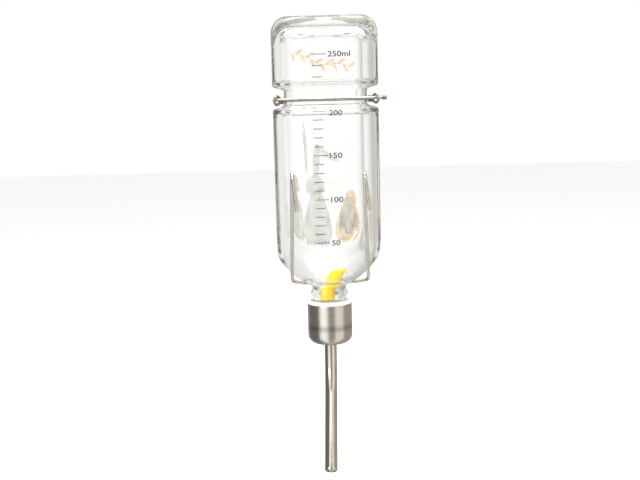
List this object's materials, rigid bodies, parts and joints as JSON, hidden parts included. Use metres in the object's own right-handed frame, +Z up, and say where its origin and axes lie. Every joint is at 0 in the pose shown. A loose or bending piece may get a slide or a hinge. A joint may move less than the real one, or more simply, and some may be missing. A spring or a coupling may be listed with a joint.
{
  "type": "rabbit water bottle",
  "caption": "Square glass drinking bottle hung neck down in a wire cage hanger, with a groove band and cross rod, a screw cap, a bent steel drinking tube with ball valve, and a level float.",
  "frame": {"origin": "on the centre line of the cage bar that the hanger hooks over, midway between its two hooks", "axes": "+Z up along the bottle, +X along the cage bar, to the right as seen from inside the cage, +Y out of the cage towards the bottle"},
  "size_m": [0.0588, 0.0674, 0.2418],
  "materials": {
    "clear_glass": "thick clear moulded glass with a printed scale",
    "float_plastic": "glossy moulded yellow",
    "nickel_wire": "bright drawn wire, nickel plated",
    "bead_metal": "crimped",
    "cap_plastic": "satin white moulding",
    "brushed_shell": "drawn stainless sheet, brushed round",
    "seal_rubber": "translucent silicone",
    "polished_tube": "polished stainless tube",
    "ball_steel": "polished bearing ball"
  },
  "bodies": {
    "hanger": {"hanger_wire": "nickel_wire"},
    "bottle": {"bottle_glass": "clear_glass", "band_wire": "nickel_wire"},
    "lock_rod": {"cross_rod": "nickel_wire", "rod_bead": "bead_metal"},
    "float": {"float_duck": "float_plastic"},
    "seal": {"cap_seal": "seal_rubber"},
    "cap": {"cap_liner": "cap_plastic", "cap_shell": "brushed_shell", "drinking_tube": "polished_tube", "tube_collar": "polished_tube"},
    "lower_valve": {"tip_ball": "ball_steel"},
    "upper_valve": {"upper_ball": "ball_steel"}
  },
  "joints": [
    {"name": "bottle_lift", "type": "slide", "parent": "hanger", "child": "bottle", "axis": [0, 0, 1], "range_m": [0, 0.1]},
    {"name": "rod_draw", "type": "slide", "parent": "bottle", "child": "lock_rod", "axis": [1, 0, 0], "range_m": [0, 0.055]},
    {"name": "float_rise", "type": "slide", "parent": "bottle", "child": "float", "axis": [0, 0, 1], "range_m": [0, 0.12]},
    {"name": "cap_travel", "type": "slide", "parent": "bottle", "child": "seal", "axis": [0, 0, -1], "range_m": [0, 0.0046]},
    {"name": "cap_unscrew", "type": "hinge", "parent": "seal", "child": "cap", "pos_m": [0, 0.0326, -0.09], "axis": [0, 0, -1], "range_deg": [0, 540]},
    {"name": "tip_ball_lift", "type": "slide", "parent": "cap", "child": "lower_valve", "axis": [0.0392, 0.6416, 0.766], "range_m": [0, 0.0015]},
    {"name": "upper_ball_lift", "type": "slide", "parent": "cap", "child": "upper_valve", "axis": [0.0392, 0.6416, 0.766], "range_m": [0, 0.0016]}
  ],
  "couplings": [
    {"joint": "cap_travel", "follows": "cap_unscrew", "m_per_rad": 0.00047746},
    {"joint": "upper_ball_lift", "follows": "tip_ball_lift", "ratio": 1}
  ]
}
